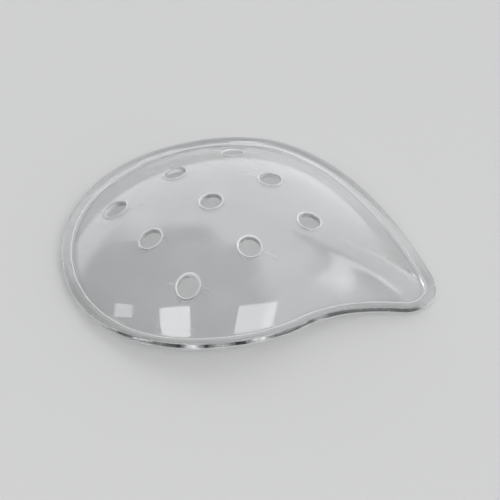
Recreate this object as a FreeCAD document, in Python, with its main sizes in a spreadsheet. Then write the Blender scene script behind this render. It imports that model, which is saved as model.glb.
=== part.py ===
import FreeCAD
import Part
import Sketcher
import math
import os
from FreeCAD import Vector

os.makedirs("parts", exist_ok=True)
doc = FreeCAD.newDocument("eye_shield")

# Driving dimensions, in millimetres unless the meaning says otherwise
DRIVING = [
    ("cup_radius", 30.2, "rim centre line round the eye cup"),
    ("tip_radius", 6.0, "rim centre line round the narrow tip"),
    ("tip_distance", 40.3, "centre of the cup to the centre of the tip"),
    ("flank_radius", 67.5, "long bulging side between cup and tip"),
    ("nose_radius", 35.0, "hollow side between cup and tip"),
    ("bead_radius", 1.05, "half the thickness of the rounded rim"),
    ("arch_rise", 4.0, "how far the long sides lift off a flat table"),
    ("arch_skew", 1.28, "plain number; over 1 moves the arch toward the tip"),
    ("crown_height", 14.5, "top of the crown sphere above the table"),
    ("crown_radius", 53.5, "sphere that the middle of the crown follows"),
    ("crown_shift_x", 5.9, "sphere centre from the cup centre, toward the tip"),
    ("crown_shift_y", -1.3, "sphere centre from the cup centre, toward the nose"),
    ("fall_power", 4.0, "plain number; how late the crown turns down"),
    ("wall", 1.2, "thickness of the shell, square to its surface"),
    ("crease_turn", 163.0, "degrees round the bead, from outward over the top, to the shell"),
    ("foot_turn", -120.0, "degrees round the bead, from outward underneath, to the flat foot"),
    ("vent_diameter", 4.3, "each vent hole"),
    ("vent_pitch", 14.3, "vent to vent in a row"),
    ("vent_turn", 50.0, "degrees from the long axis to a row of vents"),
    ("vent_rows", 3, "plain number of vents in a row"),
    ("vent_rounding", 0.35, "rounded edge of a vent on the outside"),
    ("gate_length", 2.4, "trimmed moulding gate along the rim"),
    ("gate_proud", 0.25, "trimmed moulding gate beyond the bead"),
    ("gate_height", 1.0, "trimmed moulding gate, up the side of the bead"),
    ("gate_turn", 202.0, "degrees from the tip round to the gate"),
]
sizes = doc.addObject("Spreadsheet::Sheet", "sizes")
for row, (word, value, meaning) in enumerate(DRIVING, start=1):
    sizes.set(f"A{row}", word)
    sizes.set(f"B{row}", str(value))
    sizes.set(f"C{row}", meaning)
    sizes.setAlias(f"B{row}", word)
doc.recompute()


def size(word):
    """One driving dimension, read back from the spreadsheet."""
    return float(getattr(sizes, word))


# Plan outline of the rim: four arcs that run smoothly into each other
CUP_CENTRE = Vector(0, 0, 0)
TIP_CENTRE = Vector(size("tip_distance"), 0, 0)


def touching_centre(from_cup, from_tip):
    """Centre on the nose side at these distances from the cup and tip centres."""
    apart = size("tip_distance")
    along = (from_cup**2 - from_tip**2 + apart**2) / (2 * apart)
    return Vector(along, -math.sqrt(from_cup**2 - along**2), 0)


def angle_of(vector):
    return math.atan2(vector.y, vector.x)


def sketch_arc(centre, radius, start_angle, end_angle):
    """Arc drawn counterclockwise from the first angle to the second."""
    circle = Part.Circle(centre, Vector(0, 0, 1), radius)
    return Part.ArcOfCircle(circle, start_angle, end_angle)


flank_centre = touching_centre(
    size("flank_radius") - size("cup_radius"), size("flank_radius") - size("tip_radius")
)
nose_centre = touching_centre(
    size("nose_radius") + size("cup_radius"), size("nose_radius") + size("tip_radius")
)
cup_to_flank = angle_of(CUP_CENTRE - flank_centre)
flank_to_tip = angle_of(TIP_CENTRE - flank_centre)
tip_to_nose = angle_of(nose_centre - TIP_CENTRE)
nose_to_cup = angle_of(nose_centre - CUP_CENTRE)

outline_body = doc.addObject("PartDesign::Body", "outline_body")


def sketch_in(body, name, plane_role):
    """New sketch lying flat on one of the body's own origin planes."""
    sketch = body.newObject("Sketcher::SketchObject", name)
    plane = next(p for p in body.Origin.OriginFeatures if p.Role == plane_role)
    sketch.AttachmentSupport = [(plane, "")]
    sketch.MapMode = "FlatFace"
    return sketch


def bind(sketch, constraint, name, expression):
    """Adds a named constraint and ties its value to the spreadsheet."""
    index = sketch.addConstraint(constraint)
    sketch.renameConstraint(index, name)
    sketch.setExpression(f"Constraints.{name}", expression)


plan = sketch_in(outline_body, "plan_outline", "XY_Plane")
ARC_START, ARC_END, CENTRE_POINT = 1, 2, 3
cup, flank, tip, nose = plan.addGeometry(
    [
        sketch_arc(CUP_CENTRE, size("cup_radius"), cup_to_flank, nose_to_cup + 2 * math.pi),
        sketch_arc(flank_centre, size("flank_radius"), flank_to_tip, cup_to_flank),
        sketch_arc(TIP_CENTRE, size("tip_radius"), tip_to_nose, flank_to_tip),
        sketch_arc(nose_centre, size("nose_radius"), tip_to_nose + math.pi, nose_to_cup + math.pi),
    ],
    False,
)
JOINTS = [
    (cup, ARC_END, nose, ARC_END),
    (nose, ARC_START, tip, ARC_START),
    (tip, ARC_END, flank, ARC_START),
    (flank, ARC_END, cup, ARC_START),
]
for joint in JOINTS:
    plan.addConstraint(Sketcher.Constraint("Tangent", *joint))
plan.addConstraint(Sketcher.Constraint("Coincident", cup, CENTRE_POINT, -1, 1))
plan.addConstraint(Sketcher.Constraint("PointOnObject", tip, CENTRE_POINT, -1))
bind(
    plan,
    Sketcher.Constraint("DistanceX", -1, 1, tip, CENTRE_POINT, size("tip_distance")),
    "tip_distance",
    "sizes.tip_distance",
)
for arc, word in (
    (cup, "cup_radius"),
    (flank, "flank_radius"),
    (tip, "tip_radius"),
    (nose, "nose_radius"),
):
    bind(plan, Sketcher.Constraint("Radius", arc, size(word)), word, f"sizes.{word}")
doc.recompute()


# Points along the outline, counterclockwise from the round end, shared by every ring of the shell
POINTS_ON_CUP, POINTS_ON_NOSE, POINTS_ON_TIP, POINTS_ON_FLANK = 40, 14, 10, 16


def spread(arc, count, backward=False):
    """Evenly spaced places on one arc, leaving out the last: (point, outward direction)."""
    curve = plan.Geometry[arc]
    step = (curve.LastParameter - curve.FirstParameter) / count
    angles = [curve.FirstParameter + step * i for i in range(count)]
    if backward:
        angles = [curve.LastParameter - step * i for i in range(count)]
    side = -1 if backward else 1
    places = [curve.value(angle) for angle in angles]
    return [(p, (p - curve.Center).normalize() * side) for p in places]


outline = (
    spread(cup, POINTS_ON_CUP)
    + spread(nose, POINTS_ON_NOSE, backward=True)
    + spread(tip, POINTS_ON_TIP)
    + spread(flank, POINTS_ON_FLANK)
)
round_end = min(range(len(outline)), key=lambda i: outline[i][0].x)
outline = outline[round_end:] + outline[:round_end]
arc_starts = [0, POINTS_ON_CUP, POINTS_ON_CUP + POINTS_ON_NOSE, len(outline) - POINTS_ON_FLANK]
seams = sorted([0, len(outline)] + [(start - round_end) % len(outline) for start in arc_starts])


# Heights of the rim and of the crown
RIM_LENGTH = size("cup_radius") + size("tip_distance") + size("tip_radius")


def table_gap(x):
    """Lift of the rim off a flat table: none at either end, most part way along."""
    along = max(0.0, (x + size("cup_radius")) / RIM_LENGTH)
    return size("arch_rise") * (1 - math.cos(2 * math.pi * along ** size("arch_skew"))) / 2


def sphere_height(x, y):
    """Height of the sphere that the middle of the crown follows."""
    across = math.hypot(x - size("crown_shift_x"), y - size("crown_shift_y"))
    centre_height = size("crown_height") - size("crown_radius")
    return centre_height + math.sqrt(size("crown_radius") ** 2 - across**2)


def bead_point(place, turn):
    """Point on the round bead; turn in degrees from straight outward, upward positive."""
    point, outward = place
    radius, angle = size("bead_radius"), math.radians(turn)
    rise = table_gap(point.x) + radius * (1 + math.sin(angle))
    return point + outward * (radius * math.cos(angle)) + Vector(0, 0, rise)


def crown_point(place, reach):
    """Outside of the shell: reach is 0 over the cup centre and 1 where it meets the bead."""
    end = bead_point(place, size("crease_turn"))
    rim_distance = math.hypot(end.x, end.y)
    rounded = size("cup_radius") * (1 - reach) + rim_distance * reach
    x, y = (c * reach * rounded / rim_distance for c in (end.x, end.y))
    fall = (sphere_height(end.x, end.y) - end.z) * reach ** size("fall_power")
    return Vector(x, y, sphere_height(x, y) - fall)


REACH_STEP = 0.001  # small enough for the slope of the crown at one point


def crown_frame(index, reach):
    """Point of the crown, its outward normal and the direction down the slope."""
    here = crown_point(outline[index], reach)
    below = crown_point(outline[index], reach + REACH_STEP)
    down = below - crown_point(outline[index], reach - REACH_STEP)
    following = crown_point(outline[(index + 1) % len(outline)], reach)
    around = following - crown_point(outline[index - 1], reach)
    return here, down.cross(around).normalize(), down.normalize()


def inner_point(index, reach):
    """Inside of the shell, one wall thickness under the crown."""
    here, normal, down = crown_frame(index, reach)
    return here - normal * size("wall")


def inner_foot(index):
    """Inside of the shell carried on down its slope, level with the edge of the foot."""
    here, normal, down = crown_frame(index, 1.0)
    start = inner_point(index, 1.0)
    drop = start.z - bead_point(outline[index], size("foot_turn")).z
    return start + down * (drop / -down.z)


# Skins of the shell and rim, each drawn through closed rings that follow the outline
def ring(point_at):
    """Closed smooth curve through one point for each place of the outline."""
    count = len(outline)
    curve = Part.BSplineCurve()
    curve.interpolate(
        Points=[point_at(i) for i in range(count)],
        PeriodicFlag=True,
        Parameters=[float(i) for i in range(count + 1)],
    )
    return curve


def skin(rings, stations):
    """Faces through the rings, divided where the arcs of the outline meet."""
    lines = []
    for column in zip(*[curve.getPoles() for curve in rings]):
        line = Part.BSplineCurve()
        line.interpolate(Points=list(column), Parameters=list(stations))
        lines.append(line)
    round_way, cross_way = rings[0], lines[0]
    surface = Part.BSplineSurface()
    surface.buildFromPolesMultsKnots(
        [line.getPoles() for line in lines],
        round_way.getMultiplicities(),
        cross_way.getMultiplicities(),
        round_way.getKnots(),
        cross_way.getKnots(),
        True,
        False,
        round_way.Degree,
        cross_way.Degree,
    )
    faces = []
    for start, end in zip(seams, seams[1:]):
        patch = surface.copy()
        patch.segment(start, end, stations[0], stations[-1])
        faces.append(patch.toShape())
    return faces


# Rings of the shell, from inside the middle vent out to the crease, and of the bead
REACHES = (0.055, 0.2, 0.35, 0.5, 0.65, 0.8, 0.9, 1.0)
FOOT_STATION = 1.013
BEAD_STEPS = 10
bead_sweep = size("foot_turn") - size("crease_turn")
bead_turns = [size("crease_turn") + bead_sweep * i / BEAD_STEPS for i in range(BEAD_STEPS + 1)]

outer_rings = [ring(lambda i: crown_point(outline[i], reach)) for reach in REACHES]
inner_rings = [ring(lambda i: inner_point(i, reach)) for reach in REACHES] + [ring(inner_foot)]
bead_rings = [ring(lambda i: bead_point(outline[i], turn)) for turn in bead_turns]
crown_skin = skin(outer_rings, REACHES)
inner_skin = skin(inner_rings, REACHES + (FOOT_STATION,))
bead_skin = skin(bead_rings, range(len(bead_turns)))
foot = skin([bead_rings[-1], inner_rings[-1]], (0, 1))
middle_hole = skin([outer_rings[0], inner_rings[0]], (0, 1))
shell = Part.makeShell(crown_skin + inner_skin + bead_skin + foot + middle_hole)
shell.sewShape()
blank = doc.addObject("Part::Feature", "blank")
blank.Shape = Part.Solid(shell)

# Mark left by the moulding gate: a low block trimmed off just beyond the bead
gate_angle = math.radians(size("gate_turn"))
gate = doc.addObject("Part::Box", "gate")
gate.setExpression("Length", "sizes.bead_radius + sizes.gate_proud")
gate.setExpression("Width", "sizes.gate_length")
gate.setExpression("Height", "sizes.gate_height")
gate_spot = Vector(math.cos(gate_angle), math.sin(gate_angle), 0) * size("cup_radius")
gate_spot.z = table_gap(gate_spot.x) + size("bead_radius") - size("gate_height") / 2
gate_spot = gate_spot + Vector(math.sin(gate_angle), -math.cos(gate_angle), 0) * (size("gate_length") / 2)
gate.Placement = FreeCAD.Placement(gate_spot, FreeCAD.Rotation(Vector(0, 0, 1), size("gate_turn")))

moulding = doc.addObject("Part::MultiFuse", "moulding")
moulding.Shapes = [blank, gate]

# Core pins of the vents: one pin repeated along both directions of a square grid
PIN_LENGTH = "sizes.crown_height * 1.5"
pins = doc.addObject("PartDesign::Body", "vent_pins")
pin_sketch = sketch_in(pins, "pin_circle", "XY_Plane")
pin_circle = Part.Circle(Vector(-size("vent_pitch"), -size("vent_pitch"), 0), Vector(0, 0, 1), 1)
pin = pin_sketch.addGeometry(pin_circle, False)
across_vent = Sketcher.Constraint("Diameter", pin, size("vent_diameter"))
bind(pin_sketch, across_vent, "vent_diameter", "sizes.vent_diameter")
for kind, name in (("DistanceX", "across"), ("DistanceY", "along")):
    offset = Sketcher.Constraint(kind, pin, CENTRE_POINT, -1, 1, size("vent_pitch"))
    bind(pin_sketch, offset, name, "sizes.vent_pitch")
pin_pad = pins.newObject("PartDesign::Pad", "pin")
pin_pad.Profile = pin_sketch
pin_pad.setExpression("Length", PIN_LENGTH)
doc.recompute()
grid = pins.newObject("PartDesign::MultiTransform", "pin_grid")
grid.Originals = [pin_pad]
patterns = []
for axis in ("H_Axis", "V_Axis"):
    pattern = pins.newObject("PartDesign::LinearPattern", f"pins_{axis[0].lower()}")
    pattern.Direction = (pin_sketch, [axis])
    pattern.setExpression("Length", "sizes.vent_pitch * (sizes.vent_rows - 1)")
    pattern.Occurrences = int(size("vent_rows"))
    patterns.append(pattern)
grid.Transformations = patterns
pins.Tip = grid
pins.Placement = FreeCAD.Placement(Vector(), FreeCAD.Rotation(Vector(0, 0, 1), size("vent_turn")))
vented = doc.addObject("Part::Cut", "vented")
vented.Base = moulding
vented.Tool = pins
doc.recompute()


# Rounded edge on the outside of every vent
def vent_axes():
    """Where the vents stand on the table plane, row by row."""
    turn, pitch = math.radians(size("vent_turn")), size("vent_pitch")
    steps = range(int(size("vent_rows")))
    middle = (size("vent_rows") - 1) / 2
    along = Vector(math.cos(turn), math.sin(turn), 0)
    across = Vector(-math.sin(turn), math.cos(turn), 0)
    return [(along * (i - middle) + across * (j - middle)) * pitch for i in steps for j in steps]


SAME_SPOT = 0.02  # an edge point nearer than this lies on the surface


def outer_vent_edges():
    """Numbers of the edges where the vents break through the outside of the crown."""
    outside = Part.makeCompound(crown_skin)
    radius = size("vent_diameter") / 2
    numbers = []
    for number, edge in enumerate(vented.Shape.Edges, start=1):
        spot = edge.valueAt((edge.FirstParameter + edge.LastParameter) / 2)
        from_axes = [math.hypot(spot.x - axis.x, spot.y - axis.y) for axis in vent_axes()]
        on_vent = any(abs(distance - radius) < SAME_SPOT for distance in from_axes)
        if on_vent and Part.Vertex(spot).distToShape(outside)[0] < SAME_SPOT:
            numbers.append(number)
    return numbers


shield = doc.addObject("Part::Fillet", "shield_shell")
shield.Label = "shield_shell"
shield.Base = vented
rounding = size("vent_rounding")
shield.Edges = [(number, rounding, rounding) for number in outer_vent_edges()]

# The origin is the middle of the footprint, on the table
shield.setExpression("Placement.Base.x", "(sizes.cup_radius - sizes.tip_distance - sizes.tip_radius) / 2")
doc.recompute()

for thing in doc.Objects:
    if "Invalid" in thing.State or "Error" in thing.State:
        raise RuntimeError(f"{thing.Label} did not build: {thing.State}")
for part in [shield]:
    if part.Shape.isNull() or not part.Shape.isValid():
        raise RuntimeError(f"{part.Label} has no sound shape")
    part.Shape.exportStep(f"parts/{part.Label}.step")
    box = part.Shape.optimalBoundingBox(False)
    print(part.Label, "volume", round(part.Shape.Volume, 1), "box", box)
    print(len(part.Shape.Solids), "solid", len(part.Shape.Faces), "faces")
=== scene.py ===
# %% [markdown]
# A clear eye shield, moulded in one piece.
# The real object is a thin dome of clear plastic with a rounded rim and nine round vents. It has
# no other parts, so the whole lesson is about one surface and one finish. The CAD solid comes in
# first as a fixed frame: it says where everything is, and the shape drawn here has to fit it.

import math

import bmesh
import bpy
from mathutils import Matrix, Quaternion, Vector
from mathutils.geometry import delaunay_2d_cdt


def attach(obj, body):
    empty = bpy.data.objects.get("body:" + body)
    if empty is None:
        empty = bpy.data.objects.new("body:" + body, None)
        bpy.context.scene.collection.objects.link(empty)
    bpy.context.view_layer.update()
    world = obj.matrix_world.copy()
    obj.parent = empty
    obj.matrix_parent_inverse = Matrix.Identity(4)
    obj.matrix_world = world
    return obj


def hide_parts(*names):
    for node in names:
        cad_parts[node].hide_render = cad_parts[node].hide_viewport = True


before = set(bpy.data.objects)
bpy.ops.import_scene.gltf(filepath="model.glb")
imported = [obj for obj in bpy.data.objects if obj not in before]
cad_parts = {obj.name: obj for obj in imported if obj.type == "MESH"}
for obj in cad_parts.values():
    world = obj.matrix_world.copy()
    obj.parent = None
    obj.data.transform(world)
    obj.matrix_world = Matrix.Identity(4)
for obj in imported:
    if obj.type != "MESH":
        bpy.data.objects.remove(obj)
bpy.context.view_layer.update()

# %% [markdown]
# Sizes.
# The shield was measured in millimetres, round the centre of its cup, so the shape is worked out
# in those units and only turned into metres when the mesh is made. A shape could also be pushed
# and pulled by eye, but then the rim and the dome would slowly drift away from the CAD solid.

# %% Sizes of the shield in millimetres
CUP_RADIUS, TIP_RADIUS, TIP_DISTANCE = 30.2, 6.0, 40.3
FLANK_RADIUS, NOSE_RADIUS = 67.5, 35.0
BEAD_RADIUS, CREASE_TURN, FOOT_TURN = 1.05, 163.0, -120.0
ARCH_RISE, ARCH_SKEW = 4.0, 1.28
CROWN_HEIGHT, CROWN_RADIUS = 14.5, 53.5
CROWN_SHIFT = Vector((5.9, -1.3))
FALL_POWER, WALL = 4.0, 1.2
VENT_RADIUS, VENT_PITCH, VENT_TURN, VENT_ROUNDING = 2.15, 14.3, 50.0, 0.35
RIM_LENGTH = CUP_RADIUS + TIP_DISTANCE + TIP_RADIUS
CUP_CENTRE_X = (CUP_RADIUS - TIP_DISTANCE - TIP_RADIUS) / 2  # place of the cup in the frame
MM = 0.001
TINY = 1e-9  # too short to give a direction
print("rim length", RIM_LENGTH, "mm, cup centre at x", round(CUP_CENTRE_X, 2), "mm")

# %% [markdown]
# The outline.
# Seen from above, the rim is four arcs that run smoothly into each other: the round cup, the long
# flank, the narrow tip and the hollow side that clears the nose. A Bezier curve traced by hand
# would look close, but arcs with shared tangents give the even sweep that a cut mould has.


# %% The four arcs of the outline
def touching_centre(from_cup, from_tip):
    """Centre on the nose side at these distances from the cup and tip centres."""
    along = (from_cup**2 - from_tip**2 + TIP_DISTANCE**2) / (2 * TIP_DISTANCE)
    return Vector((along, -math.sqrt(from_cup**2 - along**2)))


def angle_of(vector):
    return math.atan2(vector.y, vector.x)


def on_circle(centre, radius, angle):
    return centre + Vector((math.cos(angle), math.sin(angle))) * radius


CUP, TIP = Vector((0, 0)), Vector((TIP_DISTANCE, 0))
FLANK = touching_centre(FLANK_RADIUS - CUP_RADIUS, FLANK_RADIUS - TIP_RADIUS)
NOSE = touching_centre(NOSE_RADIUS + CUP_RADIUS, NOSE_RADIUS + TIP_RADIUS)
flank_start, flank_end = angle_of(TIP - FLANK), angle_of(CUP - FLANK)
nose_start, nose_end = angle_of(CUP - NOSE), angle_of(TIP - NOSE)

# centre, radius, first angle, last angle, and +1 where the rim bulges or -1 where it is hollow
ARCS = [
    (CUP, CUP_RADIUS, flank_end, angle_of(NOSE) + 2 * math.pi, 1),
    (NOSE, NOSE_RADIUS, nose_start, nose_end, -1),
    (TIP, TIP_RADIUS, angle_of(NOSE - TIP), flank_start, 1),
    (FLANK, FLANK_RADIUS, flank_start, flank_end, 1),
]
for centre, radius, first, last, side in ARCS:
    print("arc radius", radius, "mm, turn", round(math.degrees(last - first), 1), "degrees")

# %% [markdown]
# Heights.
# The rim lies on the table at its round end and at its tip, and arches up between them, so that it
# fits the brow and the cheek. The dome follows a sphere in the middle and turns down late, near
# the rim. Both are written as short formulas, so any point of the shield can be asked for its
# height, which is what lets the vents be drawn exactly round later on.


# %% Height of the rim and of the dome
def table_gap(x):
    """Lift of the rim off the table."""
    along = max(0.0, (x + CUP_RADIUS) / RIM_LENGTH)
    return ARCH_RISE * (1 - math.cos(2 * math.pi * along**ARCH_SKEW)) / 2


def sphere_height(spot):
    across = (spot - CROWN_SHIFT).length
    return CROWN_HEIGHT - CROWN_RADIUS + math.sqrt(CROWN_RADIUS**2 - across**2)


CREASE_INSET = -BEAD_RADIUS * math.cos(math.radians(CREASE_TURN))
CREASE_RISE = BEAD_RADIUS * (1 + math.sin(math.radians(CREASE_TURN)))


def crease_radius(arc):
    centre, radius, first, last, side = arc
    return radius - side * CREASE_INSET


# Directions from the cup's centre at which one arc of the crease gives way to the next
ARC_LIMITS = [angle_of(on_circle(arc[0], crease_radius(arc), arc[3])) for arc in ARCS]


def arc_towards(angle):
    """The arc that a ray from the cup's centre meets at this angle, from -pi to pi."""
    cup_end, nose_end_at, tip_end, flank_end_at = ARC_LIMITS
    if cup_end < angle <= nose_end_at:
        return ARCS[1]
    if nose_end_at < angle <= tip_end:
        return ARCS[2]
    if tip_end < angle <= flank_end_at:
        return ARCS[3]
    return ARCS[0]


def crease_towards(angle):
    """Distance of the crease from the cup's centre, and the rim's centre line beside it."""
    arc = arc_towards(angle)
    centre, radius, first, last, side = arc
    ray = Vector((math.cos(angle), math.sin(angle)))
    along = ray.dot(centre)
    across = crease_radius(arc) ** 2 - centre.length_squared + along**2
    distance = along + side * math.sqrt(max(across, 0.0))
    crease = ray * distance
    outward = (crease - centre).normalized() * side
    return distance, crease, crease + outward * CREASE_INSET


def reach_of(distance, rim_distance):
    """0 over the cup's centre, 1 at the crease; rings near the centre are rounder."""
    spare = rim_distance - CUP_RADIUS
    if abs(spare) < TINY:
        return distance / CUP_RADIUS
    return (math.sqrt(CUP_RADIUS**2 + 4 * spare * distance) - CUP_RADIUS) / (2 * spare)


def outer_height(spot):
    """Height of the outside of the dome over a point of the table."""
    if spot.length < TINY:
        return sphere_height(spot)
    rim_distance, crease, rim_line = crease_towards(angle_of(spot))
    reach = reach_of(spot.length, rim_distance)
    fall = sphere_height(crease) - table_gap(rim_line.x) - CREASE_RISE
    return sphere_height(spot) - fall * reach**FALL_POWER


SLOPE_STEP = 0.02  # short enough that the dome is straight over it
ACROSS_X, ACROSS_Y = Vector((SLOPE_STEP, 0)), Vector((0, SLOPE_STEP))


def outer_normal(spot):
    rise_x = outer_height(spot + ACROSS_X) - outer_height(spot - ACROSS_X)
    rise_y = outer_height(spot + ACROSS_Y) - outer_height(spot - ACROSS_Y)
    return Vector((-rise_x, -rise_y, 2 * SLOPE_STEP)).normalized()


def outer_point(spot):
    return Vector((spot.x, spot.y, outer_height(spot)))


def inner_point(spot):
    """One wall thickness under the outside, square to the surface."""
    return outer_point(spot) - outer_normal(spot) * WALL


INNER_ROUNDS = 6  # each round lands nearer; six are exact to a thousandth of a millimetre


def inner_height(spot):
    """Height of the inside of the dome straight over a point of the table."""
    above = spot.copy()
    for _ in range(INNER_ROUNDS):
        above = spot + outer_normal(above).xy * WALL
    return inner_point(above).z


print("top of the dome", round(outer_height(CUP), 2), "mm, inside", round(inner_height(CUP), 2))

# %% [markdown]
# Mesh bookkeeping.
# Points and faces are first gathered in plain lists, because the dome, its rim and the vents share
# their edge points. Rows of points that run side by side are joined into a band of four-sided
# faces. Blender's own bridge tool does the same, but here the order of the points is known.

# %% Lists that gather the mesh
points, faces = [], []


def add(new_points):
    """Keeps the points and returns their numbers."""
    start = len(points)
    points.extend(new_points)
    return list(range(start, len(points)))


def join_rings(ring, other):
    """A closed band of four-sided faces between two rings with as many points."""
    for i in range(len(ring)):
        j = (i + 1) % len(ring)
        faces.append((ring[i], ring[j], other[j], other[i]))


# %% [markdown]
# Places along the rim.
# The rim's cross-section is drawn at a few hundred places. They lie about half a millimetre apart,
# and closer at the gate, the small lug where the plastic was let into the mould, because a mesh
# can only show a step where it has points on both sides of it.

# %% Places along the rim
PLACE_SPACING = 0.55
GATE_ANGLE, GATE_HALF, GATE_EDGE = math.radians(207.0), 0.55, 0.16
GATE_PROUD, GATE_HALF_HEIGHT = 0.2, 0.4


def places_on(arc):
    """Evenly spaced (rim line point, outward direction), leaving out the last."""
    centre, radius, first, last, side = arc
    count = math.ceil(radius * abs(last - first) / PLACE_SPACING)
    angles = [first + (last - first) * i / count for i in range(count)]
    if radius == CUP_RADIUS:
        edges = [GATE_HALF + GATE_EDGE * step for step in (-1, 0, 1)]
        angles += [GATE_ANGLE + sign * edge / radius for edge in edges for sign in (-1, 1)]
        angles.sort()
    spots = [on_circle(centre, radius, angle) for angle in angles]
    return [(spot, (spot - centre).normalized() * side) for spot in spots]


places = [place for arc in ARCS for place in places_on(arc)]
print(len(places), "places along the rim")

# %% [markdown]
# The rim in section.
# A cut through the rim shows a round bead, a small hollow fillet where the dome runs into it, and
# a narrow flat foot underneath. Mould makers round every corner a little, and in clear plastic
# those roundings carry the bright lines, so they are drawn and not left to shading.

# %% Section of the rim at one place
CREASE_FILLET, CORNER_SIZE = 0.3, 0.16
FILLET_STEPS, BEAD_STEPS, BAND_STEPS = 4, 26, 13
BAND_START = 0.855  # reach at which the even rows toward the rim begin


def rounded_corner(before, corner, after):
    """Three points that replace a sharp corner."""
    start = corner + (before - corner).normalized() * CORNER_SIZE
    end = corner + (after - corner).normalized() * CORNER_SIZE
    return [start, (start + corner * 2 + end) / 4, end]


def smooth_step(value, start, end):
    share = min(1.0, max(0.0, (value - start) / (end - start)))
    return share * share * (3 - 2 * share)


def gate_share(spot, height):
    """1 on the small lug left by the gate, 0 away from it."""
    around = math.remainder(angle_of(spot) - GATE_ANGLE, 2 * math.pi) * CUP_RADIUS
    if abs(around) > GATE_HALF + GATE_EDGE:
        return 0.0
    along = 1 - smooth_step(abs(around), GATE_HALF - GATE_EDGE, GATE_HALF + GATE_EDGE)
    up = 1 - smooth_step(abs(height), GATE_HALF_HEIGHT - GATE_EDGE, GATE_HALF_HEIGHT + GATE_EDGE)
    return along * up


def bead_at(turn):
    """Point of the bead's circle: distance outward and height, from its centre."""
    angle = math.radians(turn)
    return Vector((math.cos(angle), math.sin(angle))) * BEAD_RADIUS


def rim_section(place):
    """Points from the dome's edge over the bead to the foot, then the start of the inside."""
    spot, outward = place
    middle = table_gap(spot.x) + BEAD_RADIUS

    def placed(flat):
        proud = gate_share(spot, flat.y) if flat.x > 0 else 0.0
        out = flat.x + (BEAD_RADIUS + GATE_PROUD - flat.x) * proud
        return Vector((*(spot + outward * out), middle + flat.y))

    crease = bead_at(CREASE_TURN)
    dome_normal = outer_normal(spot + outward * crease.x)
    normal = Vector((dome_normal.xy.dot(outward), dome_normal.z)).normalized()
    up_slope = Vector((-normal.y, normal.x))
    lifted = crease + normal * CREASE_FILLET
    back = lifted.dot(up_slope)
    gap = lifted.length_squared - (BEAD_RADIUS + CREASE_FILLET) ** 2
    slide = math.sqrt(back**2 - gap) - back
    hollow = lifted + up_slope * slide  # centre of the fillet
    start, end = -normal, -hollow.normalized()
    fillet = [
        hollow + start.lerp(end, i / FILLET_STEPS).normalized() * CREASE_FILLET
        for i in range(FILLET_STEPS + 1)
    ]
    first_turn = math.degrees(math.atan2(hollow.y, hollow.x)) % 360
    sweep = FOOT_TURN - first_turn
    bead = [bead_at(first_turn + sweep * i / BEAD_STEPS) for i in range(1, BEAD_STEPS + 1)]

    inside = crease - normal * WALL
    foot_end = inside - up_slope * ((inside.y - bead[-1].y) / up_slope.y)
    near_bead = rounded_corner(bead[-2], bead[-1], foot_end)
    near_wall = rounded_corner(bead[-1], foot_end, inside)
    section = fillet + bead[:-1] + near_bead + near_wall
    return [placed(flat) for flat in section], placed(inside)


sections = [rim_section(place) for place in places]
print(len(sections[0][0]), "points in each section of the rim")

# %% [markdown]
# Bands of the dome near the rim.
# From just outside the vents to the rim, the dome is made of rows that follow the outline, the way
# light runs round it. Each column of points starts on one smooth ring and ends exactly on the
# rim's fillet, so the reflections flow across the join.


# %% Outer and inner bands
def band_spot(place, reach):
    """Point of the table under the dome, along the ray through one place of the rim."""
    spot, outward = place
    crease = spot + outward * bead_at(CREASE_TURN).x
    distance = crease.length
    return crease * (reach * (CUP_RADIUS * (1 - reach) + distance * reach) / distance)


reaches = [BAND_START + (1 - BAND_START) * i / BAND_STEPS for i in range(BAND_STEPS)]
outer_band, inner_band = [], []
for reach in reaches:
    outer_row, inner_row = [], []
    for place, (section, inside) in zip(places, sections):
        spot = band_spot(place, reach)
        miss = section[0].xy - band_spot(place, 1.0)
        outer_row.append(outer_point(spot + miss * smooth_step(reach, BAND_START, 1.0)))
        inner_row.append(inner_point(spot))
    outer_band.append(add(outer_row))
    inner_band.append(add(inner_row))
section_rings = [add(ring) for ring in zip(*[section for section, inside in sections])]
inner_edge = add([inside for section, inside in sections])
all_rings = outer_band + section_rings + [inner_edge] + inner_band[::-1]
for ring, following in zip(all_rings, all_rings[1:]):
    join_rings(ring, following)
print(len(all_rings), "rings,", len(faces), "faces so far")

# %% [markdown]
# The vents.
# Each vent is a plain round hole, cut straight down through a sloping wall, with its outer edge
# rounded. A Boolean cut would leave long thin faces and a hard edge that spoils clear plastic, so
# each vent gets its own rings: flat ones on the dome, a rounded edge, the wall of the hole, a
# finer rounded edge inside, and flat ones on the inside of the dome.

# %% Rings of one vent
VENT_STEPS, EDGE_STEPS, WALL_STEPS = 56, 6, 3
VENT_MARGIN, INNER_ROUNDING = 1.8, 0.12
TOWARD_EDGE = (0, 0.3, 0.58, 0.82)  # rows close up toward the rounded edge
AWAY_FROM_EDGE = (0.18, 0.42, 0.7, 1)


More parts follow.
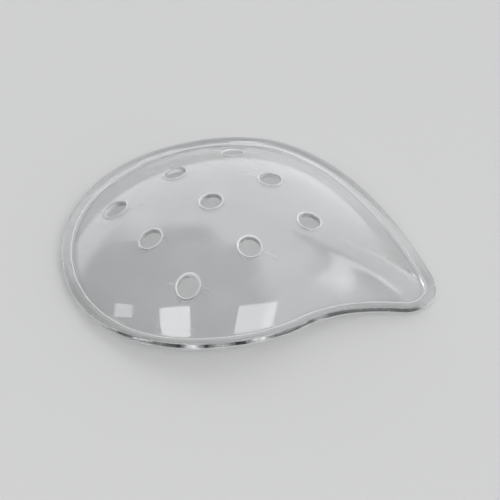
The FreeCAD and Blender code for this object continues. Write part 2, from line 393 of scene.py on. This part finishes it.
def vent_column(centre, angle):
    """Points from the dome, over the edge, down the hole and out along the inside."""
    ray = Vector((math.cos(angle), math.sin(angle)))
    border = VENT_RADIUS + VENT_MARGIN

    def placed(out, height):
        return Vector((*(centre + ray * out), height))

    def edge(height_of, rounding, side):
        """Rounded edge between the hole and a surface above (+1) or below (-1)."""
        out = VENT_RADIUS + rounding
        step = ray * SLOPE_STEP
        rise = height_of(centre + ray * out + step) - height_of(centre + ray * out - step)
        slope = rise / (2 * SLOPE_STEP)
        middle = height_of(centre + ray * out) - side * rounding * math.hypot(1, slope)
        first = math.atan2(side, -side * slope) % (2 * math.pi)
        turns = [first + (math.pi - first) * i / EDGE_STEPS for i in range(EDGE_STEPS + 1)]
        return [(out + rounding * math.cos(a), middle + rounding * math.sin(a)) for a in turns]

    over = edge(outer_height, VENT_ROUNDING, 1)
    under = edge(inner_height, INNER_ROUNDING, -1)[::-1]
    column = []
    for share in TOWARD_EDGE:
        out = border + (over[0][0] - border) * share
        column.append(placed(out, outer_height(centre + ray * out)))
    column += [placed(*spot) for spot in over]
    top, bottom = over[-1][1], under[0][1]
    for i in range(1, WALL_STEPS):
        column.append(placed(VENT_RADIUS, top + (bottom - top) * i / WALL_STEPS))
    column += [placed(*spot) for spot in under]
    for share in AWAY_FROM_EDGE:
        out = under[-1][0] + (border - under[-1][0]) * share
        column.append(placed(out, inner_height(centre + ray * out)))
    return column


# %% [markdown]
# Nine of them.
# The vents sit on a square grid that is turned against the outline, three by three round the cup's
# centre. Each one keeps its first and last ring, to which the rest of the dome is joined next.

# %% All nine vents
vent_turn = math.radians(VENT_TURN)
vent_row = Vector((math.cos(vent_turn), math.sin(vent_turn))) * VENT_PITCH
vent_file = Vector((-vent_row.y, vent_row.x))
vent_centres = [vent_row * i + vent_file * j for i in (-1, 0, 1) for j in (-1, 0, 1)]
outer_borders, inner_borders = [], []
for centre in vent_centres:
    angles = [2 * math.pi * i / VENT_STEPS for i in range(VENT_STEPS)]
    columns = [vent_column(centre, angle) for angle in angles]
    rings = [add(ring) for ring in zip(*columns)]
    for ring, following in zip(rings, rings[1:]):
        join_rings(ring, following)
    outer_borders.append(rings[0])
    inner_borders.append(rings[-1])
print(len(vent_centres), "vents,", len(faces), "faces so far")

# %% [markdown]
# The middle of the dome.
# What is left is a sheet with nine round windows in it. Blender can fill such a sheet with
# triangles that are close to equal, if it is given the edges to keep and an even lattice of points
# to use. The same fill is made twice, for the outside and for the inside.

# %% Fill between the band and the vents
LATTICE = 0.85
CLEARANCE = 0.5 * LATTICE
VENT_BORDER = VENT_RADIUS + VENT_MARGIN
INSIDE_ONLY, SAME_POINT = 1, 1e-6  # kind of fill, and how near two points count as one


def lattice_spots(margin):
    """Even points, this far inside the band and clear of the vents."""
    row_height = LATTICE * math.sqrt(3) / 2
    rows = math.ceil(RIM_LENGTH / row_height)
    spots = []
    for row in range(-rows, rows + 1):
        for column in range(-rows, rows + 1):
            spot = Vector(((column + (row % 2) / 2) * LATTICE, row * row_height))
            limit = crease_towards(angle_of(spot))[0] if spot.length > 0 else CUP_RADIUS
            edge = BAND_START * (CUP_RADIUS * (1 - BAND_START) + limit * BAND_START)
            from_vents = [(spot - centre).length - VENT_BORDER for centre in vent_centres]
            if spot.length < edge - margin and min(from_vents) > CLEARANCE:
                spots.append(spot)
    return spots


def fill(edge_ring, borders, height_of, margin):
    """Triangles between an outer ring and the borders of the vents."""
    loops = [edge_ring] + borders
    kept = [number for loop in loops for number in loop]
    edges, start = [], 0
    for loop in loops:
        edges += [(start + i, start + (i + 1) % len(loop)) for i in range(len(loop))]
        start += len(loop)
    flat = [points[number].xy for number in kept] + lattice_spots(margin)
    filled = delaunay_2d_cdt(flat, edges, [], INSIDE_ONLY, SAME_POINT)
    made, _, triangles, origins, _, _ = filled
    numbers = []
    for spot, origin in zip(made, origins):
        if origin and origin[0] < len(kept):
            numbers.append(kept[origin[0]])
        else:
            numbers += add([Vector((spot.x, spot.y, height_of(spot)))])
    window = VENT_BORDER * math.cos(math.pi / VENT_STEPS)  # to the middle of a side of the ring
    for triangle in triangles:
        middle = sum((made[i] for i in triangle), Vector((0, 0))) / 3
        if all((middle - centre).length > window for centre in vent_centres):
            faces.append(tuple(numbers[i] for i in triangle))


fill(outer_band[0], outer_borders, outer_height, CLEARANCE)
fill(inner_band[0], inner_borders, inner_height, CLEARANCE + WALL / 2)
print(len(points), "points and", len(faces), "faces in all")

# %% [markdown]
# Painted bright lines along the rim.
# Two fine milky lines along the rim paint in the bright lines of light that it shows: one in the
# crease, and one at the bead's widest, where the mould halves part and leave a real line as well;
# the rows below it are milky too, which lightens the dark band there. The finish needs to know
# where they run, so each point of the mesh carries a number. A distance worked out in the shader
# would also do, but the rings already follow the rim exactly.

# %% Share of painted bright line, and of mould line, in each ring of the rim
# The crease line is a painted bright line; the parting line is a mould line with a painted bright
# line on it and on the rows below.
CREASE_HIGHLIGHT_SHARES, PARTING_AND_HIGHLIGHT_SHARE, PARTING_ROWS = (0.85, 0.4), 0.7, 6
crease_ring = FILLET_STEPS // 2
parting_ring = FILLET_STEPS + 1 + BEAD_STEPS // 2
ring_shares = {crease_ring + row: share for row, share in enumerate(CREASE_HIGHLIGHT_SHARES)}
ring_shares.update({parting_ring + row: PARTING_AND_HIGHLIGHT_SHARE for row in range(PARTING_ROWS)})
mould_and_highlight_shares = [0.0] * len(points)
for ring_number, share in ring_shares.items():
    for number in section_rings[ring_number]:
        mould_and_highlight_shares[number] = share
print("mould lines on", sum(share > 0 for share in mould_and_highlight_shares), "points")

# %% [markdown]
# One closed skin.
# The lists now become a mesh. Clear plastic only bends light rightly if its mesh is closed and
# every face looks outward, so both are tested here. The whole surface is shaded smooth: with every
# corner rounded there is no edge left that would need a split.

# %% Make the mesh and put it in the frame
SNUG = 0.9995  # this finer mesh bulges a hair past the flats of the CAD solid's own mesh


def face_outward(mesh):
    """Turns all faces outward, and prints whether the mesh is closed."""
    tool = bmesh.new()
    tool.from_mesh(mesh)
    bmesh.ops.recalc_face_normals(tool, faces=tool.faces)
    if tool.calc_volume(signed=True) < 0:
        bmesh.ops.reverse_faces(tool, faces=tool.faces)
    open_edges = sum(1 for edge in tool.edges if len(edge.link_faces) != 2)
    print("open edges", open_edges, "volume", round(tool.calc_volume() / MM**3, 1), "mm3")
    tool.to_mesh(mesh)
    tool.free()


def make_shell():
    mesh = bpy.data.meshes.new("clear_shell")
    moved = [(point + Vector((CUP_CENTRE_X, 0, 0))) * MM * SNUG for point in points]
    mesh.from_pydata(moved, [], faces)
    face_outward(mesh)
    mesh.polygons.foreach_set("use_smooth", [True] * len(mesh.polygons))
    # Per-point share of the painted bright lines on the rim; only the one at the bead's widest is
    # also a mould line.
    line = mesh.attributes.new("mould_and_highlight_line", "FLOAT", "POINT")
    line.data.foreach_set("value", mould_and_highlight_shares)
    shell = bpy.data.objects.new("clear_shell", mesh)
    bpy.context.scene.collection.objects.link(shell)
    return shell


shell = make_shell()
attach(shell, "root")
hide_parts("shield_shell")

# %% [markdown]
# Writing shader maths.
# Node trees are easier to read as sums than as wires. This small class wraps one output socket, so
# that adding or multiplying two of them adds the Math node that does it.


# %% A socket that can be added and multiplied
class Wire:
    """An output socket of a node tree, for use in Python arithmetic."""

    def __init__(self, tree, socket):
        self.tree, self.socket = tree, socket

    def math(self, operation, *values):
        return self.tree.node("ShaderNodeMath", {"operation": operation}, dict(enumerate(values)))

    def __add__(self, other):
        return self.math("ADD", self, other)

    def __mul__(self, other):
        return self.math("MULTIPLY", self, other)

    def __sub__(self, other):
        return self.math("SUBTRACT", self, other)

    def __rsub__(self, other):
        return self.math("SUBTRACT", other, self)

    __radd__, __rmul__ = __add__, __mul__

    def size(self):
        return self.math("ABSOLUTE", self)

    def root(self):
        return self.math("SQRT", self)

    def or_larger(self, other):
        return self.math("MAXIMUM", self, other)

    def fade(self, start, end):
        """0 up to the start, 1 from the end, smooth between; works downward too."""
        settings = {"interpolation_type": "SMOOTHSTEP"}
        flip = start > end
        low, high = (end, start) if flip else (start, end)
        values = {"Value": self, "From Min": low, "From Max": high}
        rise = self.tree.node("ShaderNodeMapRange", settings, values)
        return 1 - rise if flip else rise


# %% [markdown]
# Building a node tree.
# A second class holds the tree of a material or of the world. Any node that isn't plain arithmetic
# comes from its one method, and the few kinds that are used often get a short name each.

# %% A node tree and the nodes used most
COLOUR_A, COLOUR_B, COLOUR_OUT = 6, 7, 2  # sockets of a Mix node that mixes colours
OBJECT_PLACE, GENERATED_PLACE = 3, 0  # outputs of a Texture Coordinate node


class Tree:
    """A material's or world's node tree, emptied and ready to fill."""

    def __init__(self, owner):
        owner.use_nodes = True
        self.nodes, self.links = owner.node_tree.nodes, owner.node_tree.links
        self.nodes.clear()

    def node(self, kind, settings, values, output=0):
        """Adds a node: settings first, then the value or link of each socket."""
        made = self.nodes.new(kind)
        for name, setting in settings.items():
            setattr(made, name, setting)
        for name, value in values.items():
            if isinstance(value, Wire):
                self.links.new(value.socket, made.inputs[name])
            else:
                made.inputs[name].default_value = value
        return Wire(self, made.outputs[output]) if made.outputs else None

    def vector(self, operation, values, output=0):
        return self.node("ShaderNodeVectorMath", {"operation": operation}, values, output)

    def distance(self, first, second):
        return self.vector("DISTANCE", {0: first, 1: second}, 1)

    def rotated(self, vector, degrees):
        settings = {"rotation_type": "Z_AXIS"}
        values = {0: vector, "Angle": math.radians(degrees)}
        return self.node("ShaderNodeVectorRotate", settings, values)

    def parts_of(self, vector):
        return [self.node("ShaderNodeSeparateXYZ", {}, {0: vector}, i) for i in range(3)]

    def noise_at(self, vector, scale, detail=2.0):
        values = {"Vector": vector, "Scale": scale, "Detail": detail}
        return self.node("ShaderNodeTexNoise", {}, values)

    def mixed(self, share, first, second):
        """The colour this share of the way from the first to the second."""
        colours = [c if isinstance(c, Wire) else (*c, 1) for c in (first, second)]
        values = {0: share, COLOUR_A: colours[0], COLOUR_B: colours[1]}
        return self.node("ShaderNodeMix", {"data_type": "RGBA"}, values, COLOUR_OUT)


# %% [markdown]
# Marks and painted highlights round the vents.
# The pins that form the vents leave a ground, slightly milky wall and edge in each hole, and that
# milky white also paints in the bright crescents that light carried along the wall gives, which is
# what makes the holes stand out. Behind each pin two streams of plastic met, and a faint line is
# left on either side. The grid of vents is folded onto one vent, so that each mark is written
# once; the same marks at nine places by hand would need nine times the nodes.

# %% Pin marks with painted highlights, and flow lines
# The milky edge of a vent is a ground pin mark and also a painted highlight.
PIN_RIM, PIN_RIM_END = 0.34, 0.42  # how far past the hole its ground edge reaches
EDGE_INNER, EDGE_OUTER = 0.05, 0.2
FLOW_WANDER, FLOW_WIDE, FLOW_THIN = 1.6, 0.28, 0.05
FLOW_IN, FLOW_OUT = (2.2, 3.0), (7.0, 4.5)  # where a flow line begins and ends


def vent_marks(tree, spot):
    """Shares of milky wall and milky edge (ground pin marks that also paint highlights) and of
    flow line, from a place in millimetres.
    """
    half = VENT_PITCH / 2
    turned = tree.rotated(spot, -VENT_TURN)
    folded = tree.vector("WRAP", {0: turned, 1: (half,) * 3, 2: (-half,) * 3})
    beside_x, beside_y, _ = tree.parts_of(tree.rotated(folded, VENT_TURN))
    from_vent = (beside_x * beside_x + beside_y * beside_y).root()

    column, row, _ = tree.parts_of(turned)
    limit = 1.5 * VENT_PITCH  # outside this there are no more vents
    on_grid = column.size().fade(limit + 0.1, limit) * row.size().fade(limit + 0.1, limit)
    # Milky wall and edge of each vent: a ground pin mark whose white also paints in the bright
    # crescents of light.
    pin_wall_and_highlight = from_vent.fade(VENT_RADIUS + PIN_RIM_END, VENT_RADIUS + PIN_RIM) * on_grid
    pin_edge_and_highlight = from_vent.fade(VENT_RADIUS + EDGE_INNER, VENT_RADIUS + EDGE_OUTER) * pin_wall_and_highlight

    wander = tree.noise_at(spot, 0.35) - 0.5
    off_line = (beside_y + wander * FLOW_WANDER).size()
    along = beside_x.size()
    streak = off_line.fade(FLOW_WIDE, FLOW_THIN) * along.fade(*FLOW_IN) * along.fade(*FLOW_OUT)
    patchy = tree.noise_at(spot, 0.11).fade(0.45, 0.6)
    return pin_wall_and_highlight, pin_edge_and_highlight, streak * patchy * on_grid


# %% [markdown]
# Traces of making and handling.
# The gate is frosted where it was trimmed. Wiping leaves hairlines in one direction, and a thumb
# has dulled the near slope of the tip, where such a shield is picked up. Plastic with no trace of
# use would show up as a computer picture at once, but each trace is kept faint.

# %% Gate, hairlines, haze, specks and thumb
GATE_FROST, GATE_FROST_CORE = 1.1, 0.6
WIPE_TURN, WIPE_STRETCH, HAIRLINE_WIDTH = 24, (0.03, 1.1, 0.4), 0.004
SPECK_SCALE, SPECK_EDGE, SPECK_CORE = 0.6, 0.05, 0.02
THUMB_SPOT, THUMB_REACH, THUMB_WANDER = (34.0, -4.0, 5.5), 19.0, 4


def handling_marks(tree, spot):
    """Shares of frost, hairline, haze, speck and thumb mark."""
    gate = on_circle(CUP, CUP_RADIUS + BEAD_RADIUS, GATE_ANGLE)
    from_gate = tree.distance(spot, (gate.x, gate.y, BEAD_RADIUS + table_gap(gate.x)))
    frost = from_gate.fade(GATE_FROST, GATE_FROST_CORE)
    wiped = tree.vector("MULTIPLY", {0: tree.rotated(spot, WIPE_TURN), 1: WIPE_STRETCH})
    hairline = (tree.noise_at(wiped, 1.0, 3.0) - 0.5).size().fade(HAIRLINE_WIDTH, 0.0)
    haze = tree.noise_at(spot, 0.07, 4.0).fade(0.42, 0.75)
    cells = tree.node("ShaderNodeTexVoronoi", {}, {"Vector": spot, "Scale": SPECK_SCALE})
    speck = cells.fade(SPECK_EDGE, SPECK_CORE)
    from_thumb = tree.distance(spot, THUMB_SPOT) + tree.noise_at(spot, 0.25) * THUMB_WANDER
    return frost, hairline, haze, speck, from_thumb.fade(THUMB_REACH, THUMB_REACH / 2)


# %% [markdown]
# The clear plastic.
# One Principled shader with full transmission does the bending of light and the mirror images.
# A second, milky one stands for plastic that is scuffed or ground, and it also paints in the
# bright lines of light along the rim and the bright crescents in the vents; the marks above decide
# how much of it shows where. A slow waviness in the bump, as any moulding has, keeps the mirror
# images from being ruler-straight. A single rough glass would be simpler, but it would blur
# everything.

# %% Clear plastic material
PLASTIC_IOR, POLISH, MILKY_ROUGHNESS = 1.57, 0.015, 0.35
CLEAN_TINT, HAZY_TINT, MILKY_COLOUR = (0.99, 0.996, 1.0), (0.96, 0.967, 0.97), (0.93, 0.94, 0.95)
WAVE_HEIGHT, FLOW_HEIGHT, GRAIN_HEIGHT, HAIRLINE_DEPTH = 0.012, 0.003, 0.1, 0.002  # millimetres


def millimetres(tree):
    """Place on the shield in millimetres from the cup's centre."""
    metres = tree.node("ShaderNodeTexCoord", {}, {}, OBJECT_PLACE)
    from_cup = tree.vector("SUBTRACT", {0: metres, 1: (CUP_CENTRE_X * MM, 0, 0)})
    return tree.vector("SCALE", {0: from_cup, "Scale": 1 / MM})


def clear_plastic():
    material = bpy.data.materials.new("clear_plastic")
    tree = Tree(material)
    spot = millimetres(tree)
    pin_wall_and_highlight, pin_edge_and_highlight, flow = vent_marks(tree, spot)
    frost, hairline, haze, speck, thumb = handling_marks(tree, spot)
    # Milky lines along the rim: painted bright lines of light, the one at the bead's widest also a
    # mould parting line.
    line_settings = {"attribute_type": "GEOMETRY", "attribute_name": "mould_and_highlight_line"}
    mould_and_highlight_line = tree.node("ShaderNodeAttribute", line_settings, {}, 2)

    worn = thumb * 0.16 + haze * 0.035 + hairline * 0.12 + flow * 0.06 + speck * 0.3
    roughness = POLISH + worn + frost * 0.45 + pin_wall_and_highlight * 0.32
    wave = tree.noise_at(spot, 0.16, 1.0) * WAVE_HEIGHT
    grain = tree.noise_at(spot, 3.0) * frost * GRAIN_HEIGHT
    height = wave + flow * FLOW_HEIGHT + grain - hairline * HAIRLINE_DEPTH
    bump_values = {"Strength": 1.0, "Distance": MM, "Height": height}
    bump = tree.node("ShaderNodeBump", {}, bump_values)
    clear_values = {
        "Base Color": tree.mixed(haze, CLEAN_TINT, HAZY_TINT),
        "Roughness": roughness,
        "IOR": PLASTIC_IOR,
        "Transmission Weight": 1.0,
        "Normal": bump,
    }
    milky_values = {
        "Base Color": (*MILKY_COLOUR, 1),
        "Roughness": MILKY_ROUGHNESS,
        "Normal": bump,
    }
    mottle = tree.noise_at(spot, 1.3).fade(0.35, 0.65)
    # Milky share in the vents: ground pin marks plus painted highlights.
    ground_and_highlight = pin_wall_and_highlight * (mottle * 0.35 + 0.3) + pin_edge_and_highlight * 0.25
    # Milky share: real scuffs, frost, specks and flow lines, plus painted bright lines on the rim
    # and painted highlights in the vents.
    scuffs_and_painted_highlights = ground_and_highlight + frost * 0.35 + speck * 0.5 + flow * 0.2 + mould_and_highlight_line
    clear = tree.node("ShaderNodeBsdfPrincipled", {}, clear_values)
    milky = tree.node("ShaderNodeBsdfPrincipled", {}, milky_values)
    shader = tree.node("ShaderNodeMixShader", {}, {0: scuffs_and_painted_highlights, 1: clear, 2: milky})
    tree.node("ShaderNodeOutputMaterial", {}, {"Surface": shader})
    return material


shell.data.materials.append(clear_plastic())
print("clear plastic has", len(shell.data.materials[0].node_tree.nodes), "nodes")

# %% [markdown]
# Floor.
# Clear things have no colour of their own: they show what is under and around them. A plain pale
# floor that runs on far behind is enough, with a trace of grain so that it isn't dead flat. It
# glows a little toward the camera, and toward rays that come through the plastic, so that it looks
# pale without a stronger lamp on the shield. It still takes the shadow.

# %% Pale floor
FLOOR_SIZE, FLOOR_COLOUR, FLOOR_ROUGHNESS, FLOOR_GLOW = 6.0, 0.5, 0.7, 0.16
GRAIN_SCALE, GRAIN_SHARE = 900.0, 0.01
SEEN_BY = ("Is Camera Ray", "Is Glossy Ray", "Is Transmission Ray")


def floor_material():
    material = bpy.data.materials.new("pale_floor")
    tree = Tree(material)
    place = tree.node("ShaderNodeTexCoord", {}, {}, OBJECT_PLACE)
    grain = tree.noise_at(place, GRAIN_SCALE, 3.0)
    darker, paler = [(FLOOR_COLOUR * (1 + GRAIN_SHARE * sign),) * 3 for sign in (-1, 1)]
    plain_values = {"Base Color": tree.mixed(grain, darker, paler), "Roughness": FLOOR_ROUGHNESS}
    plain = tree.node("ShaderNodeBsdfPrincipled", {}, plain_values)
    glow = tree.node("ShaderNodeEmission", {}, {"Color": (1, 1, 1, 1), "Strength": FLOOR_GLOW})
    lit = tree.node("ShaderNodeAddShader", {}, {0: plain, 1: glow})
    camera, glossy, through = [tree.node("ShaderNodeLightPath", {}, {}, kind) for kind in SEEN_BY]
    seen = camera.or_larger(glossy).or_larger(through)
    shader = tree.node("ShaderNodeMixShader", {}, {0: seen, 1: plain, 2: lit})
    tree.node("ShaderNodeOutputMaterial", {}, {"Surface": shader})
    return material


def pale_floor():
    mesh = bpy.data.meshes.new("floor")
    half = FLOOR_SIZE / 2
    corners = [(-half, -half, 0), (half, -half, 0), (half, half, 0), (-half, half, 0)]
    mesh.from_pydata(corners, [], [(0, 1, 2, 3)])
    mesh.materials.append(floor_material())
    floor = bpy.data.objects.new("floor", mesh)
    bpy.context.scene.collection.objects.link(floor)
    return floor


pale_floor()
print("floor", FLOOR_SIZE, "m square")

# %% [markdown]
# Camera.
# The photograph was taken from about forty-six degrees above, with a long lens, and with the tip
# of the shield turned a little toward the camera. The numbers come from fitting the outline and
# the nine vents of the shape above to where they show in the picture, which fixes the angle, the
# distance and the framing together.

# %% Camera at the photograph's angle
CAMERA_TILT, CAMERA_DISTANCE = math.radians(46.07), 337.9  # millimetres
PIXELS_PER_MM, IMAGE_WIDTH, SENSOR_WIDTH = 4.8, 500, 36.0
CUP_CENTRE_IN_PICTURE = (-37.77, -0.95)  # pixels right of and below the middle
SHIELD_TURN = math.radians(17.0)
upright = Matrix.Rotation(SHIELD_TURN, 3, "Z")
forward = upright @ Vector((0, math.cos(CAMERA_TILT), -math.sin(CAMERA_TILT)))
rightward = upright @ Vector((1, 0, 0))
upward = rightward.cross(forward)


def make_camera():
    data = bpy.data.cameras.new("camera")
    data.sensor_width = SENSOR_WIDTH
    data.lens = SENSOR_WIDTH * PIXELS_PER_MM * CAMERA_DISTANCE / IMAGE_WIDTH
    data.clip_start, data.clip_end = 0.01, 20.0
    right_px, down_px = CUP_CENTRE_IN_PICTURE
    offset = rightward * (right_px / PIXELS_PER_MM) - upward * (down_px / PIXELS_PER_MM)
    place = Vector((CUP_CENTRE_X, 0, 0)) - forward * CAMERA_DISTANCE - offset
    camera = bpy.data.objects.new("camera", data)
    turn = Matrix((rightward, upward, -forward)).transposed().to_4x4()
    camera.matrix_world = Matrix.Translation(place * MM) @ turn
    bpy.context.scene.collection.objects.link(camera)
    bpy.context.scene.camera = camera
    print("lens", round(data.lens, 1), "mm, camera at", [round(c / 1000, 3) for c in place])


make_camera()

# %% [markdown]
# Lamps.
# Three soft boxes stand on the camera's side, like the windows of a room. Their mirror images are
# the bright four-sided patches on the near slope: tracing a few corners of those patches back off
# the dome gave the direction and the size of each lamp. Highlights painted on the plastic would
# stay put when the view turns, and real ones don't.


# %% Soft boxes
def soft_box(name, azimuth, elevation, width, height, brightness, roll):
    """A rectangular lamp a metre off; azimuth 0 is the far side, positive to the right."""
    data = bpy.data.lights.new(name, "AREA")
    data.shape, data.size, data.size_y = "RECTANGLE", width, height
    data.energy = brightness * math.pi * width * height
    turn, lift = math.radians(azimuth), math.radians(elevation)
    level = Vector((math.sin(turn), math.cos(turn), 0)) * math.cos(lift)
    towards = upright @ (level + Vector((0, 0, math.sin(lift))))
    lamp = bpy.data.objects.new(name, data)
    lamp.location = towards
    facing = towards.to_track_quat("Z", "Y") @ Quaternion((0, 0, 1), math.radians(roll))
    lamp.rotation_euler = facing.to_euler()
    bpy.context.scene.collection.objects.link(lamp)
    print(name, "at azimuth", azimuth, "elevation", elevation)


soft_box("window_box_left", -129.0, 46.0, 0.33, 0.4, 3.4, 45)
soft_box("window_box_right", 138.8, 48.4, 0.54, 0.36, 2.6, -37)
soft_box("window_box_far_left", -96.5, 27.5, 0.17, 0.12, 2.0, 55)

# %% [markdown]
# The room.
# The rest of the light is the room itself: bright behind and to the right, dimmer overhead. The
# bright side lies as a soft veil on the far half of the dome and ends in a wavy border, just as in
# the picture. A single big lamp would give a mirror image with hard straight edges.

# %% World
BRIGHT_SIDE, BRIGHT_EDGE, EDGE_SOFTNESS = Vector((0.61, 0.46, -0.64)), -0.37, 0.09
WAVES_SCALE, WAVES_SIZE = 2.2, 0.7
BRIGHT, DIM_LOW, DIM_HIGH = (1.35, 1.36, 1.37), (0.5, 0.5, 0.51), (0.2, 0.2, 0.21)
HIGH_UP = 0.8  # height at which the dim part of the room stops darkening


def room():
    world = bpy.data.worlds.new("room")
    bpy.context.scene.world = world
    tree = Tree(world)
    place = tree.node("ShaderNodeTexCoord", {}, {}, GENERATED_PLACE)
    height = tree.parts_of(place)[2]
    dim = tree.mixed(height.fade(0.0, HIGH_UP), DIM_LOW, DIM_HIGH)
    inside = tree.vector("DOT_PRODUCT", {0: place, 1: upright @ BRIGHT_SIDE}, 1)
    wavy = (tree.noise_at(place, WAVES_SCALE, 1.0) - 0.5) * WAVES_SIZE
    bright = (inside + wavy).fade(BRIGHT_EDGE - EDGE_SOFTNESS, BRIGHT_EDGE + EDGE_SOFTNESS)
    colour = tree.mixed(bright, dim, BRIGHT)
    shader = tree.node("ShaderNodeBackground", {}, {"Color": colour, "Strength": 1.0})
    tree.node("ShaderNodeOutputWorld", {}, {"Surface": shader})
    print("room has", len(world.node_tree.nodes), "nodes")


room()
bpy.context.scene.view_settings.view_transform = "Standard"
